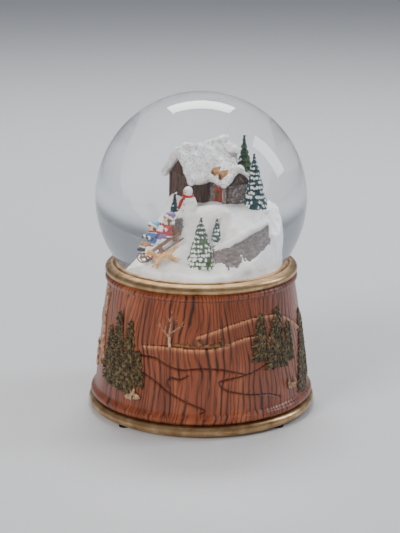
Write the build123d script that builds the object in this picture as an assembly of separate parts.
from build123d import *
import math
import os

# A musical snow globe: a glass sphere with a cast resin winter scene inside it, on a tall
# hollow base of cast resin. A wind-up movement hangs inside the base. Millimetres, +Z up,
# origin on the table under the middle of the globe, front towards -Y.

# ---- globe -------------------------------------------------------------------------------
globe_outer_diameter = 120.0
globe_wall = 2.0
globe_sunk_depth = 23.5          # how far the sphere sits down inside the collar ring
neck_outer_radius = 40.0
neck_depth = 19.5                # from the top of the collar ring to the open end of the neck
stopper_flange_thickness = 3.0
stopper_flange_inset = 0.5
adhesive_gap = 0.8               # bed of adhesive between the glass and the base
flake_size = 1.5
flake_thickness = 0.25
flake_count = 34

# ---- base --------------------------------------------------------------------------------
foot_thickness = 1.2
foot_pad_radius = 3.2
foot_ring_height = 6.0
base_height = 79.0               # table to the top of the upper lip
drum_flare = 7.9                 # how much wider the wall is at the bottom than at the top
drum_bow = 0.35                  # outward swelling of the wall halfway up
drum_wall = 4.5
drum_deck_thickness = 9.0
rim_width = 6.0                  # from the glass to the top edge of the wall
lip_height = 4.5
lower_lip_height = 6.3
lip_overhang = 1.4
lower_lip_overhang = 2.7
foot_ring_overhang = 1.3         # beyond the lower lip
foot_ring_width = 9.5
collar_height = 6.0
collar_bead_width = 2.2

# ---- base plate --------------------------------------------------------------------------
key_recess_depth = 14.0          # table to the underside of the base plate
base_plate_thickness = 2.0
base_plate_clearance = 0.4
boss_radius = 4.0
boss_height = 12.0
boss_wall_overlap = 0.5
plate_screw_shank_radius = 1.25
plate_screw_head_radius = 2.8
plate_screw_head_height = 1.8
plate_screw_length = 9.0
screw_hole_clearance = 0.3

# ---- figurine scene ----------------------------------------------------------------------
scene_stopper_radius = 38.0      # radius of the stopper that the scene was sculpted for
scene_ground = 39.5              # height of the snow that the cottage stands on
mound_radius = 34.0
mound_foot_height = 13.0
mound_top_height = 40.0

# ---- movement ----------------------------------------------------------------------------
bedplate_thickness = 2.0
movement_screw_radius = 1.0
movement_screw_head_radius = 2.2
movement_screw_head_height = 1.4
housing_radius = 11.3
housing_height = 8.0
housing_wall = 0.6
mainspring_turns = 5
mainspring_thickness = 0.35
arbor_radius = 2.0
bearing_clearance = 0.05
gear_clearance = 0.6             # between the spring housing and the main gear
main_gear_teeth = 36
main_gear_thickness = 1.0
cylinder_pinion_teeth = 18
drive_pitch_radius = 10.0        # of the main gear's face teeth
drive_face_width = 2.4
tooth_addendum = 0.4
tooth_dedendum = 0.7
housing_bracket_gap = 0.6
cylinder_bracket_gap = 0.5       # between the bracket and the end of the pinned cylinder
cylinder_length = 20.0
cylinder_radius = 6.5
pin_height = 0.8
pin_radius = 0.22
comb_teeth = 18
comb_pin_clearance = 0.25
comb_tooth_length = 8.5
comb_body_depth = 8.0
comb_thickness = 0.9
cylinder_arbor_radius = 1.0
bracket_thickness = 0.8
heavy_bracket_thickness = 1.5
cylinder_wheel_teeth = 36
cylinder_wheel_pitch_radius = 6.3
governor_pinion_teeth = 12
wheel_thickness = 1.4
worm_wheel_teeth = 20
worm_wheel_pitch_radius = 4.0
worm_wheel_thickness = 1.2
worm_pitch_radius = 1.6
worm_length = 7.0
governor_shaft_radius = 0.6
fan_radius = 5.0
fan_height = 7.0

# ---- winding key -------------------------------------------------------------------------
key_hub_radius = 3.0
key_wing_span = 20.0
key_wing_height = 7.5
key_wing_thickness = 1.8
key_ground_clearance = 3.0
key_plate_clearance = 0.8
key_hub_depth = 5.0              # of the arbor's end in the key

# ---- places worked out from the sizes above ------------------------------------------------
globe_radius = globe_outer_diameter / 2
globe_inner_radius = globe_radius - globe_wall
neck_bore_radius = neck_outer_radius - globe_wall
collar_top = base_height + collar_height
globe_centre = collar_top + globe_radius - globe_sunk_depth
neck_bottom = collar_top - neck_depth
neck_joint = globe_centre - math.sqrt(globe_radius**2 - neck_outer_radius**2)
neck_inner_joint = globe_centre - math.sqrt(globe_inner_radius**2 - neck_bore_radius**2)
stopper_top = neck_inner_joint - 0.2

seat_radius = math.sqrt(globe_radius**2 - (collar_top - globe_centre) ** 2)
drum_top_radius = seat_radius + rim_width
drum_bottom_radius = drum_top_radius + drum_flare
foot_ring_top = foot_thickness + foot_ring_height
wall_bottom = foot_ring_top + lower_lip_height
wall_top = base_height - lip_height
foot_ring_radius = drum_bottom_radius + lower_lip_overhang + foot_ring_overhang
deck_bottom = base_height - drum_deck_thickness

plate_bottom = key_recess_depth
plate_top = key_recess_depth + base_plate_thickness
key_top = plate_bottom - key_plate_clearance
bed_top = plate_top + bedplate_thickness
housing_top = bed_top + housing_height
main_gear_bottom = housing_top + gear_clearance
main_gear_top = main_gear_bottom + main_gear_thickness
drive_tooth_plane = main_gear_top + tooth_dedendum
cylinder_pinion_radius = drive_pitch_radius * cylinder_pinion_teeth / main_gear_teeth
cylinder_axis = drive_tooth_plane + cylinder_pinion_radius
left_bracket_start = housing_radius + housing_bracket_gap
left_bracket_end = left_bracket_start + bracket_thickness
cylinder_start = left_bracket_end + cylinder_bracket_gap
cylinder_end = cylinder_start + cylinder_length
heavy_bracket_start = cylinder_end + 1.3
heavy_bracket_end = heavy_bracket_start + heavy_bracket_thickness
wheel_start = heavy_bracket_end + 0.8
wheel_end = wheel_start + wheel_thickness
governor_pinion_radius = (
    cylinder_wheel_pitch_radius * governor_pinion_teeth / cylinder_wheel_teeth
)
governor_shaft_y = cylinder_wheel_pitch_radius + governor_pinion_radius
worm_wheel_start = wheel_end + 1.0
worm_x = worm_wheel_start + worm_wheel_thickness / 2
worm_y = governor_shaft_y + worm_wheel_pitch_radius + worm_pitch_radius
worm_lead = 2 * math.pi * worm_wheel_pitch_radius / worm_wheel_teeth
governor_shaft_end = worm_wheel_start + worm_wheel_thickness + 2.4
bed_right = governor_shaft_end + 2.0
bed_left = -housing_radius - 2.7
comb_tip = -(cylinder_radius + pin_height + comb_pin_clearance)
comb_root = comb_tip - comb_tooth_length
comb_back = comb_root - comb_body_depth
bed_front = comb_back - 2.0
bed_back = worm_y + 7.0

scene_scale = neck_bore_radius / scene_stopper_radius


# ---- general shapes ----------------------------------------------------------------------
def drum_outer_radius(height):
    """Radius of the straight line through the drum wall's outer edges."""
    share = (height - wall_bottom) / (wall_top - wall_bottom)
    return drum_bottom_radius - drum_flare * share


def drum_inner_radius(height):
    return drum_outer_radius(height) - drum_wall


def turned(outline):
    """A solid turned about +Z from a closed outline in radius and height."""
    return revolve(Plane.XZ * make_face(outline), Axis.Z)


def turned_polygon(*points):
    return turned(Polyline(*points, close=True))


def disc(radius, bottom, top, x=0.0, y=0.0):
    return Pos(x, y, (bottom + top) / 2) * Cylinder(radius, top - bottom)


def block(x0, x1, y0, y1, z0, z1):
    return Pos((x0 + x1) / 2, (y0 + y1) / 2, (z0 + z1) / 2) * Box(x1 - x0, y1 - y0, z1 - z0)


def bar_along_x(radius, x0, x1, y, z):
    return Pos((x0 + x1) / 2, y, z) * Rot(0, 90, 0) * Cylinder(radius, x1 - x0)


def ball(radius, x, y, z):
    return Pos(x, y, z) * Sphere(radius)


def gear(teeth, pitch_radius, thickness, x, y, z, first_angle):
    """A spur gear on an axis along X from x, with its first tooth at first_angle from +Y."""
    root = pitch_radius - tooth_dedendum * 0.75
    tip = pitch_radius + tooth_addendum * 0.75
    step = 2 * math.pi / teeth
    outline = []
    for tooth in range(teeth):
        middle = math.radians(first_angle) + tooth * step
        for radius, share in ((root, -0.27), (tip, -0.13), (tip, 0.13), (root, 0.27)):
            angle = middle + share * step
            outline.append((radius * math.cos(angle), radius * math.sin(angle)))
    face = Plane(origin=(x, y, z), x_dir=(0, 1, 0), z_dir=(1, 0, 0)) * make_face(
        Polyline(*outline, close=True)
    )
    return extrude(face, thickness)


def group(shapes):
    """Separate solids kept together as one node."""
    return Compound(children=[solid for shape in shapes for solid in shape.solids()])


# ---- globe -------------------------------------------------------------------------------
def make_glass_globe():
    outline = (
        ThreePointArc(
            (0, globe_centre + globe_radius),
            (globe_radius, globe_centre),
            (neck_outer_radius, neck_joint),
        )
        + Line((neck_outer_radius, neck_joint), (neck_outer_radius, neck_bottom))
        + Line((neck_outer_radius, neck_bottom), (neck_bore_radius, neck_bottom))
        + Line((neck_bore_radius, neck_bottom), (neck_bore_radius, neck_inner_joint))
        + ThreePointArc(
            (neck_bore_radius, neck_inner_joint),
            (globe_inner_radius, globe_centre),
            (0, globe_centre + globe_inner_radius),
        )
        + Line((0, globe_centre + globe_inner_radius), (0, globe_centre + globe_radius))
    )
    return turned(outline)


def make_rubber_stopper():
    flange_radius = neck_outer_radius - stopper_flange_inset
    plug = disc(neck_bore_radius, neck_bottom, stopper_top)
    flange = disc(flange_radius, neck_bottom - stopper_flange_thickness, neck_bottom)
    return plug + flange


def globe_envelope(gap):
    """The outside of the sphere and its neck, larger by a gap."""
    neck_part = disc(neck_outer_radius + gap, neck_bottom, globe_centre)
    return ball(globe_radius + gap, 0, 0, globe_centre) + neck_part


def make_globe_adhesive():
    slab = disc(drum_top_radius, deck_bottom, base_height)
    return (slab & globe_envelope(adhesive_gap)) - globe_envelope(0)


def make_globe_fluid():
    """The liquid inside the sphere, round the hill; the small pieces stand immersed in it."""
    outline = (
        Line((0, stopper_top), (neck_bore_radius, stopper_top))
        + Line((neck_bore_radius, stopper_top), (neck_bore_radius, neck_inner_joint))
        + ThreePointArc(
            (neck_bore_radius, neck_inner_joint),
            (globe_inner_radius, globe_centre),
            (0, globe_centre + globe_inner_radius),
        )
        + Line((0, globe_centre + globe_inner_radius), (0, stopper_top))
    )
    return turned(outline) - place_scene(make_mound())


def make_glitter_flakes():
    """Plastic snow, settled round the foot of the mound."""
    ring_radius = (mound_radius * scene_scale + neck_bore_radius) / 2
    flakes = []
    for i in range(flake_count):
        angle = 360 * (i + 0.3 * math.sin(5 * i)) / flake_count
        flake = extrude(RegularPolygon(flake_size / 2, 6), flake_thickness)
        flakes.append(Rot(0, 0, angle) * Pos(ring_radius, 0, stopper_top) * flake)
    return group(flakes)


# ---- base --------------------------------------------------------------------------------
def make_base_drum():
    lip_middle = base_height - lip_height / 2 + 0.25
    lower_middle = foot_ring_top + lower_lip_height * 0.43
    wall_middle = (wall_bottom + wall_top) / 2
    inner_bottom = drum_inner_radius(wall_bottom)
    outline = (
        Line((inner_bottom, foot_ring_top), (drum_bottom_radius + 1, foot_ring_top))
        + ThreePointArc(
            (drum_bottom_radius + 1, foot_ring_top),
            (drum_bottom_radius + lower_lip_overhang, lower_middle),
            (drum_bottom_radius + 0.8, wall_bottom - 0.9),
        )
        + Line((drum_bottom_radius + 0.8, wall_bottom - 0.9), (drum_bottom_radius, wall_bottom))
        + ThreePointArc(
            (drum_bottom_radius, wall_bottom),
            (drum_outer_radius(wall_middle) + drum_bow, wall_middle),
            (drum_top_radius, wall_top),
        )
        + Line((drum_top_radius, wall_top), (drum_top_radius + 0.3, wall_top + 0.6))
        + ThreePointArc(
            (drum_top_radius + 0.3, wall_top + 0.6),
            (drum_top_radius + lip_overhang, lip_middle),
            (drum_top_radius + 0.3, base_height - 0.1),
        )
        + Line((drum_top_radius + 0.3, base_height - 0.1), (drum_top_radius, base_height))
        + Line((drum_top_radius, base_height), (0, base_height))
        + Line((0, base_height), (0, deck_bottom))
        + Line((0, deck_bottom), (drum_inner_radius(deck_bottom), deck_bottom))
        + Line((drum_inner_radius(deck_bottom), deck_bottom), (inner_bottom, wall_bottom))
        + Line((inner_bottom, wall_bottom), (inner_bottom, foot_ring_top))
    )
    drum = turned(outline)
    for x, y in boss_places():
        drum += disc(boss_radius, plate_top, plate_top + boss_height, x, y)
    for x, y in boss_places():
        pilot_top = plate_bottom + plate_screw_length
        drum -= disc(plate_screw_shank_radius, plate_top, pilot_top, x, y)
    return drum - globe_envelope(adhesive_gap)


def boss_places():
    reach = drum_inner_radius(plate_top) - boss_radius + boss_wall_overlap
    spots = []
    for angle in (45, 135, 225, 315):
        turn = math.radians(angle)
        spots.append((reach * math.cos(turn), reach * math.sin(turn)))
    return spots


def make_collar_ring():
    """Gold ring round the foot of the sphere: a small bead, a groove and a round moulding."""
    bead_outer = seat_radius + collar_bead_width
    outer = drum_top_radius + lip_overhang
    outline = (
        Line((seat_radius - 6, base_height), (drum_top_radius - 0.2, base_height))
        + ThreePointArc(
            (drum_top_radius - 0.2, base_height),
            (outer, base_height + collar_height * 0.4),
            (bead_outer + 0.6, collar_top - 1.2),
        )
        + ThreePointArc(
            (bead_outer + 0.6, collar_top - 1.2),
            (bead_outer - 0.1, collar_top - 0.5),
            (bead_outer - 1.1, collar_top),
        )
        + Line((bead_outer - 1.1, collar_top), (seat_radius - 6, collar_top))
        + Line((seat_radius - 6, collar_top), (seat_radius - 6, base_height))
    )
    return turned(outline) - globe_envelope(0)


def make_foot_ring():
    inner = foot_ring_radius - foot_ring_width
    middle = (foot_thickness + foot_ring_top) / 2
    outline = (
        Line((inner, foot_thickness), (foot_ring_radius - 2.0, foot_thickness))
        + ThreePointArc(
            (foot_ring_radius - 2.0, foot_thickness),
            (foot_ring_radius, middle),
            (foot_ring_radius - 1.7, foot_ring_top),
        )
        + Line((foot_ring_radius - 1.7, foot_ring_top), (inner, foot_ring_top))
        + Line((inner, foot_ring_top), (inner, foot_thickness))
    )
    return turned(outline)


def make_rubber_feet():
    reach = foot_ring_radius - foot_ring_width / 2
    feet = []
    for angle in (45, 135, 225, 315):
        feet.append(Rot(0, 0, angle) * disc(foot_pad_radius, 0, foot_thickness, reach))
    return group(feet)


# ---- base plate --------------------------------------------------------------------------
def make_base_plate():
    plate = disc(drum_inner_radius(plate_top) - base_plate_clearance, plate_bottom, plate_top)
    plate -= disc(arbor_radius + screw_hole_clearance, plate_bottom, plate_top)
    for x, y in boss_places():
        hole = plate_screw_shank_radius + screw_hole_clearance
        plate -= disc(hole, plate_bottom, plate_top, x, y)
    for x, y in movement_screw_places():
        hole = movement_screw_radius + screw_hole_clearance
        plate -= disc(hole, plate_bottom, plate_top, x, y)
    return plate


def pan_screw(shank_radius, head_radius, head_height, tip, x, y):
    """A screw driven upwards, its domed head under the base plate, with a cross recess."""
    head = disc(head_radius, plate_bottom - head_height, plate_bottom)
    head = fillet(head.edges().group_by(Axis.Z)[0], head_height * 0.6)
    slot = head_radius * 0.55
    depth = plate_bottom - head_height * 0.55
    head -= block(-slot, slot, -0.25, 0.25, plate_bottom - head_height, depth)
    head -= block(-0.25, 0.25, -slot, slot, plate_bottom - head_height, depth)
    shank = disc(shank_radius, plate_bottom, tip)
    return Pos(x, y, 0) * (head + shank)


def make_base_plate_screws():
    tip = plate_bottom + plate_screw_length
    return group([
        pan_screw(
            plate_screw_shank_radius, plate_screw_head_radius, plate_screw_head_height, tip, x, y
        )
        for x, y in boss_places()
    ])


# ---- movement: frame ---------------------------------------------------------------------
def movement_screw_places():
    back_left = (bed_left + 3.5, bed_back - 4.0)
    front_left = (bed_left + 3.5, bed_front + 4.0)
    front_right = (heavy_bracket_end + 3.5, bed_front + 4.0)
    return (back_left, front_left, front_right)


def make_movement_bedplate():
    bed = block(bed_left, bed_right, bed_front, bed_back, plate_top, bed_top)
    bed = fillet(bed.edges().filter_by(Axis.Z), 3.0)
    bed -= disc(arbor_radius + bearing_clearance, plate_top, bed_top)
    for x, y in movement_screw_places():
        bed -= disc(movement_screw_radius, plate_top, bed_top, x, y)
    return bed


def make_movement_screws():
    return group([
        pan_screw(
            movement_screw_radius,
            movement_screw_head_radius,
            movement_screw_head_height,
            bed_top,
            x,
            y,
        )
        for x, y in movement_screw_places()
    ])


def make_cylinder_brackets():
    """Two upright plates that carry the cylinder; the right one also carries the governor."""
    hole = cylinder_arbor_radius + bearing_clearance
    top = cylinder_axis + 3.5
    left = block(left_bracket_start, left_bracket_end, -4, 4, bed_top, top)
    left -= bar_along_x(hole, left_bracket_start, left_bracket_end, 0, cylinder_axis)
    right = block(
        heavy_bracket_start, heavy_bracket_end, -4, governor_shaft_y + 3, bed_top, top
    )
    right -= bar_along_x(hole, heavy_bracket_start, heavy_bracket_end, 0, cylinder_axis)
    right -= bar_along_x(
        governor_shaft_radius + bearing_clearance,
        heavy_bracket_start,
        heavy_bracket_end,
        governor_shaft_y,
        cylinder_axis,
    )
    return group([left, right])


# ---- movement: spring drive ----------------------------------------------------------------
def make_spring_housing():
    """An upside-down cup over the mainspring, closed below by the bedplate."""
    cup = disc(housing_radius, bed_top, housing_top)
    cup -= disc(housing_radius - housing_wall, bed_top, housing_top - housing_wall)
    return cup - disc(arbor_radius + screw_hole_clearance, bed_top, housing_top)


def make_mainspring():
    """A flat steel strip wound as a spiral between the arbor and the housing."""
    inner = arbor_radius + 1.2
    outer = housing_radius - housing_wall - 0.4
    steps = mainspring_turns * 12
    inside = []
    outside = []
    for i in range(steps + 1):
        angle = 2 * math.pi * mainspring_turns * i / steps
        radius = inner + (outer - mainspring_thickness - inner) * i / steps
        inside.append((radius * math.cos(angle), radius * math.sin(angle)))
        radius += mainspring_thickness
        outside.append((radius * math.cos(angle), radius * math.sin(angle)))
    inner_curve = Spline(*inside)
    outer_curve = Spline(*outside)
    outline = (
        inner_curve
        + outer_curve
        + Line(inside[0], outside[0])
        + Line(inside[-1], outside[-1])
    )
    strip = extrude(make_face(outline), housing_height - housing_wall - 1.2)
    return Pos(0, 0, bed_top + 0.6) * strip


def make_winding_arbor():
    return disc(arbor_radius, key_top - key_hub_depth, main_gear_top + 1.2)


def make_main_gear():
    """A face gear: a disc with upright teeth that drives the pinion on the cylinder."""
    half_face = drive_face_width / 2
    outer = drive_pitch_radius + half_face
    wheel = disc(outer, main_gear_bottom, main_gear_top)
    tip = drive_tooth_plane + tooth_addendum
    tooth_width = 2 * math.pi * drive_pitch_radius / main_gear_teeth * 0.42
    profile = Polyline(
        (-tooth_width * 0.62, main_gear_top - 0.2),
        (tooth_width * 0.62, main_gear_top - 0.2),
        (tooth_width * 0.33, tip),
        (-tooth_width * 0.33, tip),
        close=True,
    )
    inner = drive_pitch_radius - half_face
    start = Plane(origin=(inner, 0, 0), x_dir=(0, 1, 0), z_dir=(1, 0, 0))
    tooth = extrude(start * make_face(profile), drive_face_width - 0.1)
    teeth = [
        Rot(0, 0, 360 * (i + 0.5) / main_gear_teeth) * tooth for i in range(main_gear_teeth)
    ]
    hub = disc(arbor_radius + 2.0, main_gear_top, main_gear_top + 0.9)
    wheel = wheel.fuse(hub, *teeth)
    return wheel - disc(arbor_radius, main_gear_bottom, main_gear_top + 1.2)


# ---- movement: cylinder and comb -----------------------------------------------------------
def make_cylinder_arbor():
    start = drive_pitch_radius - drive_face_width
    return bar_along_x(cylinder_arbor_radius, start, wheel_end + 0.6, 0, cylinder_axis)


def cylinder_bore(shape, x0, x1):
    return shape - bar_along_x(cylinder_arbor_radius, x0, x1, 0, cylinder_axis)


def make_pinned_cylinder():
    drum = bar_along_x(cylinder_radius, cylinder_start, cylinder_end, 0, cylinder_axis)
    spacing = cylinder_length / comb_teeth
    pins = []
    for tooth in range(comb_teeth):
        x = cylinder_start + (tooth + 0.5) * spacing
        for note in range(3):
            angle = 17 + 137.5 * tooth + 120 * note + 23 * math.sin(3 * tooth + 2 * note)
            tip = cylinder_radius + pin_height
            pin = disc(pin_radius, cylinder_radius - 0.3, tip, x)
            pins.append(Pos(0, 0, cylinder_axis) * Rot(angle, 0, 0) * pin)
    drum = drum.fuse(*pins)
    return cylinder_bore(drum, cylinder_start, cylinder_end)


def make_cylinder_pinion():
    start = drive_pitch_radius - drive_face_width / 2 + 0.2
    end = drive_pitch_radius + drive_face_width / 2 - 0.2
    root = cylinder_pinion_radius - tooth_dedendum
    tip = cylinder_pinion_radius + tooth_addendum
    step = 2 * math.pi / cylinder_pinion_teeth
    outline = []
    for tooth in range(cylinder_pinion_teeth):
        middle = -math.pi / 2 + tooth * step
        for radius, share in ((root, -0.27), (tip, -0.12), (tip, 0.12), (root, 0.27)):
            angle = middle + share * step
            outline.append((radius * math.cos(angle), radius * math.sin(angle)))
    plane = Plane(origin=(start, 0, cylinder_axis), x_dir=(0, 1, 0), z_dir=(1, 0, 0))
    pinion = extrude(plane * make_face(Polyline(*outline, close=True)), end - start)
    return cylinder_bore(pinion, start, end)


def make_cylinder_wheel():
    wheel = gear(
        cylinder_wheel_teeth,
        cylinder_wheel_pitch_radius,
        wheel_thickness,
        wheel_start,
        0,
        cylinder_axis,
        0,
    )
    return cylinder_bore(wheel, wheel_start, wheel_end)


def make_comb_block():
    top = cylinder_axis - comb_thickness / 2
    return block(cylinder_start, cylinder_end, comb_back, comb_root - 0.5, bed_top, top)


def comb_screw_places():
    y = comb_back + comb_body_depth * 0.45
    return ((cylinder_start + 4.0, y), (cylinder_end - 4.0, y))


def make_tuned_comb():
    bottom = cylinder_axis - comb_thickness / 2
    top = bottom + comb_thickness
    comb = block(cylinder_start, cylinder_end, comb_back, comb_tip, bottom, top)
    spacing = cylinder_length / comb_teeth
    for gap in range(1, comb_teeth):
        x = cylinder_start + gap * spacing
        root = comb_root + 0.12 * gap
        comb -= block(x - 0.13, x + 0.13, root, comb_tip, bottom, top)
    for x, y in comb_screw_places():
        comb -= disc(1.1, bottom, top, x, y)
    return comb


def make_comb_screws():
    bottom = cylinder_axis + comb_thickness / 2
    screws = []
    for x, y in comb_screw_places():
        head = disc(2.1, bottom, bottom + 1.3, x, y)
        head -= block(x - 2.1, x + 2.1, y - 0.25, y + 0.25, bottom + 0.8, bottom + 1.3)
        screws.append(head + disc(1.1, bottom - comb_thickness, bottom, x, y))
    return group(screws)


# ---- movement: governor ---------------------------------------------------------------------
def make_governor_shaft():
    return bar_along_x(
        governor_shaft_radius,
        heavy_bracket_start - 0.4,
        governor_shaft_end,
        governor_shaft_y,
        cylinder_axis,
    )


def governor_bore(shape, x0, x1):
    return shape - bar_along_x(governor_shaft_radius, x0, x1, governor_shaft_y, cylinder_axis)


def make_governor_pinion():
    half_step = 180 / governor_pinion_teeth
    pinion = gear(
        governor_pinion_teeth,
        governor_pinion_radius,
        wheel_thickness + 0.2,
        wheel_start - 0.1,
        governor_shaft_y,
        cylinder_axis,
        half_step,
    )
    return governor_bore(pinion, wheel_start - 0.1, wheel_end + 0.1)


def make_worm_wheel():
    wheel = gear(
        worm_wheel_teeth,
        worm_wheel_pitch_radius,
        worm_wheel_thickness,
        worm_wheel_start,
        governor_shaft_y,
        cylinder_axis,
        0,
    )
    end = worm_wheel_start + worm_wheel_thickness
    return governor_bore(wheel, worm_wheel_start, end)


def make_governor_worm():
    """A steel spindle with one thread, turned by the worm wheel."""
    root = worm_pitch_radius - 0.45
    crest = worm_pitch_radius + 0.25
    half = worm_length / 2
    turns_length = 5 * worm_lead
    path = Helix(pitch=worm_lead, height=turns_length, radius=root)
    start = Plane(origin=path @ 0, x_dir=(1, 0, 0), z_dir=path % 0)
    profile = Polyline(
        (-0.1, -worm_lead * 0.26),
        (crest - root, -worm_lead * 0.1),
        (crest - root, worm_lead * 0.1),
        (-0.1, worm_lead * 0.26),
        close=True,
    )
    thread = sweep(start * make_face(profile), path=path, is_frenet=True)
    # the gap between two turns of thread faces the wheel's middle tooth, on the -Y side
    lift = -turns_length / 2 + worm_lead / 4
    thread = Pos(0, 0, lift) * thread
    core = disc(root, -half, half)
    spindle = disc(governor_shaft_radius, -half - 3.0, half + 3.4 + fan_height)
    worm = core.fuse(thread) + spindle
    return Pos(worm_x, worm_y, cylinder_axis) * worm


def make_governor_fan():
    bottom = cylinder_axis + worm_length / 2 + 3.0
    hub = disc(1.5, bottom, bottom + fan_height, worm_x, worm_y)
    vane = block(
        worm_x - fan_radius, worm_x + fan_radius, worm_y - 0.3, worm_y + 0.3,
        bottom, bottom + fan_height,
    )
    return hub + vane - disc(governor_shaft_radius, bottom, bottom + fan_height, worm_x, worm_y)


def make_governor_bracket():
    """A post with two arms for the worm spindle, and an outer bearing for the governor shaft."""
    hole = governor_shaft_radius + bearing_clearance
    low_arm = cylinder_axis - worm_length / 2 - 2.4
    high_arm = cylinder_axis + worm_length / 2 + 0.6
    post_y = worm_y + worm_pitch_radius + 1.6
    left = worm_x - 2.2
    right = worm_x + 2.2
    bracket = block(left, right, post_y, post_y + 1.6, bed_top, high_arm + 1.4)
    bracket += block(left, right, worm_y - 1.6, post_y, low_arm, low_arm + 1.4)
    bracket += block(left, right, worm_y - 1.6, post_y, high_arm, high_arm + 1.4)
    bearing = governor_shaft_end - 1.0
    foot_y = governor_shaft_y - 2.2
    bracket += block(left, bearing + 1.2, foot_y, post_y + 1.6, bed_top, bed_top + 1.2)
    bracket += block(
        bearing - 0.2, bearing + 1.2, foot_y, governor_shaft_y + 2.2, bed_top, cylinder_axis + 2
    )
    bracket -= disc(hole, low_arm, high_arm + 1.4, worm_x, worm_y)
    return bracket - bar_along_x(
        hole, bearing - 0.2, bearing + 1.2, governor_shaft_y, cylinder_axis
    )


# ---- winding key -----------------------------------------------------------------------------
def make_winding_key():
    """A butterfly key screwed on the end of the arbor, under the base plate."""
    half = key_wing_span / 2
    wing = block(
        -half, half, -key_wing_thickness / 2, key_wing_thickness / 2,
        key_ground_clearance, key_ground_clearance + key_wing_height,
    )
    wing = fillet(wing.edges().filter_by(Axis.Y), key_wing_height * 0.42)
    for side in (-1, 1):
        hole = Pos(side * half * 0.62, 0, key_ground_clearance + key_wing_height / 2)
        wing -= hole * Rot(90, 0, 0) * Cylinder(key_wing_height * 0.2, key_wing_thickness)
    hub = disc(key_hub_radius, key_ground_clearance + 1.0, key_top)
    return wing + hub - disc(arbor_radius, key_top - key_hub_depth, key_top)


# ---- figurine scene ----------------------------------------------------------------------------
# The scene is laid out on the stopper as if that were height 0, for a stopper of
# scene_stopper_radius, and then scaled to the stopper that it stands on.
def fir_tree(x, y, foot, height, radius):
    trunk = radius * 0.22
    tiers = 4
    points = [(0, foot - 1.5), (trunk, foot - 1.5), (trunk, foot + height * 0.06)]
    for tier in range(tiers):
        low = foot + height * (0.06 + 0.94 * tier / (tiers + 0.6))
        wide = radius * (1 - tier / (tiers + 0.6))
        points.append((wide, low))
        points.append((wide * 0.62, low + height * 0.17))
    points.append((0, foot + height))
    return Pos(x, y, 0) * turned_polygon(*points)


def seated_figure(x, y, seat, height, radius):
    """The envelope of a child sitting on the sled: coat, shoulders and a capped head."""
    points = [
        (0, seat),
        (radius, seat),
        (radius, seat + height * 0.28),
        (radius * 0.75, seat + height * 0.52),
        (radius * 0.45, seat + height * 0.56),
        (radius * 0.8, seat + height * 0.64),
        (radius * 0.86, seat + height * 0.82),
        (radius * 0.5, seat + height * 0.96),
        (0, seat + height),
    ]
    return Pos(x, y, 0) * turned_polygon(*points)


def cottage_frame(shape):
    """Puts a shape that is drawn from the cottage's front left corner in its place."""
    return Pos(-4.5, 6.0, 0) * Rot(0, 0, 32) * shape


def gabled_block(x0, x1, y0, y1, foot, eave, ridge):
    """A house block with its ridge along X."""
    middle = (y0 + y1) / 2
    plane = Plane(origin=(x0, 0, 0), x_dir=(0, 1, 0), z_dir=(1, 0, 0))
    outline = Polyline(
        (y0, foot), (y1, foot), (y1, eave), (middle, ridge), (y0, eave), close=True
    )
    return extrude(plane * make_face(outline), x1 - x0)


def roof_slab(x0, x1, y0, y1, eave, ridge, thickness):
    """A thick layer of snow over a gabled block, hanging over its eaves and ends."""
    middle = (y0 + y1) / 2
    plane = Plane(origin=(x0, 0, 0), x_dir=(0, 1, 0), z_dir=(1, 0, 0))
    outline = Polyline(
        (y0, eave), (middle, ridge), (y1, eave),
        (y1, eave + thickness), (middle, ridge + thickness), (y0, eave + thickness),
        close=True,
    )
    return extrude(plane * make_face(outline), x1 - x0)


def scene_wing(shape):
    return cottage_frame(Pos(15.3, 0, 0) * Rot(0, 0, -90) * shape)


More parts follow.
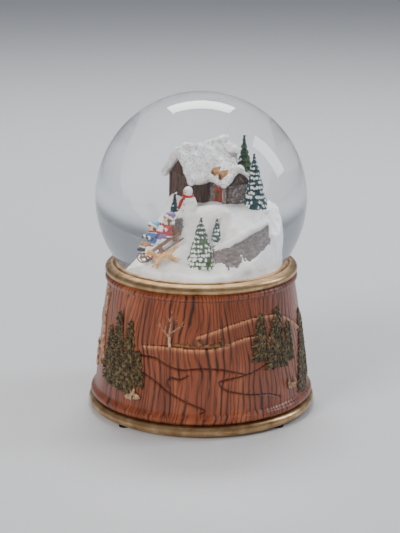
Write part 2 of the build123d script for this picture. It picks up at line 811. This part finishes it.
def make_scene():
    """Every piece of the scene by name, in the scene's own sizes."""
    ground = scene_ground
    walls = cottage_frame(gabled_block(0, 20, 0, 14.5, ground, 50.4, 58.8))
    wing = scene_wing(gabled_block(-0.5, 14.2, -5.8, 5.8, ground - 1, 49.4, 54.8)) - walls
    main_roof = cottage_frame(roof_slab(-2, 22.4, -2.2, 16.7, 47.8, 58.8, 4.2))
    wing_roof = scene_wing(roof_slab(-4, 15.4, -7.2, 7.2, 48.1, 54.8, 2.2))
    chimney = cottage_frame(block(20.0, 23.2, 1.4, 4.6, ground, 60.5))
    roof = (main_roof + wing_roof) - walls - wing - chimney
    door = scene_wing(block(4.8, 9.0, -6.3, -5.8, ground - 1, 47))
    dormers = []
    for along in (1.4, 7.4):
        dormers.append(scene_wing(block(along, along + 3.4, -6.4, -2.2, 51.0, 54.6)))
    dormers = group(dormers) - roof - wing

    trees = {
        "fir_tree_tall": fir_tree(16.4, 25.6, ground, 24.0, 4.6),
        "fir_tree_large": fir_tree(23.2, -0.6, 38.5, 26.3, 5.6),
        "fir_tree_front": fir_tree(-0.1, -18.5, 15.6, 24.2, 7.4),
        "fir_tree_small": fir_tree(7.0, -13.5, 25.8, 12.4, 3.8),
        "fir_tree_dark": fir_tree(-11.2, 2.0, 32.5, 13.5, 3.2),
    }
    snowman = ball(3.9, -5.7, -4.0, 39.6)
    snowman += ball(2.9, -5.7, -4.0, 43.6)
    snowman += ball(1.95, -5.7, -4.0, 47.6)
    scarf = Pos(-5.7, -4.0, 45.9) * Torus(2.0, 0.65)
    scarf += block(-8.4, -7.0, -5.4, -4.6, 41.5, 46.0)
    snowman -= scarf

    sled = block(-12, 12, -3.3, 3.3, 0, 1.0)
    for side in (-1, 1):
        sled += block(-13.5, 12, side * 2.4 - 0.5, side * 2.4 + 0.5, -2.6, 0)
    sled = Pos(-19.4, -16.6, 24.2) * Rot(0, -33, 12) * sled
    boy = seated_figure(-23.0, -17.8, 22.6, 17.8, 3.3)
    girl = seated_figure(-15.9, -15.6, 27.0, 16.8, 3.3)
    dog = Pos(-17.4, -24.2, 22.0) * Rot(0, 78, 0) * Cylinder(2.4, 10)
    dog += ball(2.5, -23.4, -24.4, 23.0)
    dog += block(-24.0, -22.2, -25.4, -23.0, 13.5, 21.0)
    dog += block(-14.0, -12.2, -25.4, -23.0, 14.5, 21.0)

    rock = Polyline(
        (6.0, -21.0), (12.0, -26.5), (20.0, -24.5), (27.5, -16.5), (29.5, -8.0), (12.0, -10.0),
        close=True,
    )
    rock = Pos(0, 0, 13.5) * extrude(make_face(rock), 15.5)
    standing = {
        "cottage_walls": walls,
        "cottage_wing": wing,
        **trees,
        "snowman": snowman,
        "snowman_scarf": scarf,
        "sled": sled,
        "dog_figure": dog,
        "boy_figure": boy,
        "girl_figure": girl,
        "cottage_door": door,
        "cottage_chimney": chimney,
    }
    mound = make_mound()
    rock -= mound_cap()
    for shape in standing.values():
        mound -= shape
        rock -= shape
    mound -= rock
    return {
        "snow_mound": mound,
        "rock_ledge": rock,
        **standing,
        "cottage_roof": roof,
        "roof_dormers": dormers,
    }


def mound_cap():
    """The upper terrace with the cottage on it."""
    low = Plane.XY.offset(mound_foot_height) * Polygon(
        (-28, -8), (-12, -18), (9, -19), (24, -14), (31, 2), (24, 27), (-8, 32), (-26, 18),
        align=None,
    )
    high = Plane.XY.offset(mound_top_height) * Polygon(
        (-17, -1), (-8, -9), (9, -13), (23, -11), (30, 0), (20.5, 26.8), (-6, 31), (-18, 19),
        align=None,
    )
    return loft([low, high], ruled=True)


def make_mound():
    """The snow-covered hill: a round foot with the terrace on it."""
    foot = Cone(mound_radius, mound_radius - 2.0, mound_foot_height + 1.0)
    foot = Pos(0, 0, (mound_foot_height + 1.0) / 2) * foot
    run = Plane.XZ.offset(10) * make_face(Polyline(
        (-30, mound_foot_height), (-9, mound_foot_height), (-9, 33), (-14, 29), (-28, 19),
        close=True,
    ))
    return foot + mound_cap() + extrude(run, 13)


def place_scene(shape):
    whole = Compound(shape.solids())
    return Pos(0, 0, stopper_top) * whole.scale(scene_scale)


# ---- the whole part --------------------------------------------------------------------------
scene = {name: place_scene(shape) for name, shape in make_scene().items()}

parts = {
    "base_drum": make_base_drum(),
    "collar_ring": make_collar_ring(),
    "foot_ring": make_foot_ring(),
    "rubber_feet": make_rubber_feet(),
    "base_plate": make_base_plate(),
    "base_plate_screws": make_base_plate_screws(),
    "glass_globe": make_glass_globe(),
    "globe_adhesive": make_globe_adhesive(),
    "rubber_stopper": make_rubber_stopper(),
    "globe_fluid": make_globe_fluid(),
    "glitter_flakes": make_glitter_flakes(),
    **scene,
    "movement_bedplate": make_movement_bedplate(),
    "movement_screws": make_movement_screws(),
    "spring_housing": make_spring_housing(),
    "mainspring": make_mainspring(),
    "winding_arbor": make_winding_arbor(),
    "main_gear": make_main_gear(),
    "winding_key": make_winding_key(),
    "cylinder_brackets": make_cylinder_brackets(),
    "cylinder_arbor": make_cylinder_arbor(),
    "cylinder_pinion": make_cylinder_pinion(),
    "pinned_cylinder": make_pinned_cylinder(),
    "cylinder_wheel": make_cylinder_wheel(),
    "comb_block": make_comb_block(),
    "tuned_comb": make_tuned_comb(),
    "comb_screws": make_comb_screws(),
    "governor_bracket": make_governor_bracket(),
    "governor_shaft": make_governor_shaft(),
    "governor_pinion": make_governor_pinion(),
    "worm_wheel": make_worm_wheel(),
    "governor_worm": make_governor_worm(),
    "governor_fan": make_governor_fan(),
}

os.makedirs("parts", exist_ok=True)
for node, shape in parts.items():
    export_step(shape, f"parts/{node}.step")
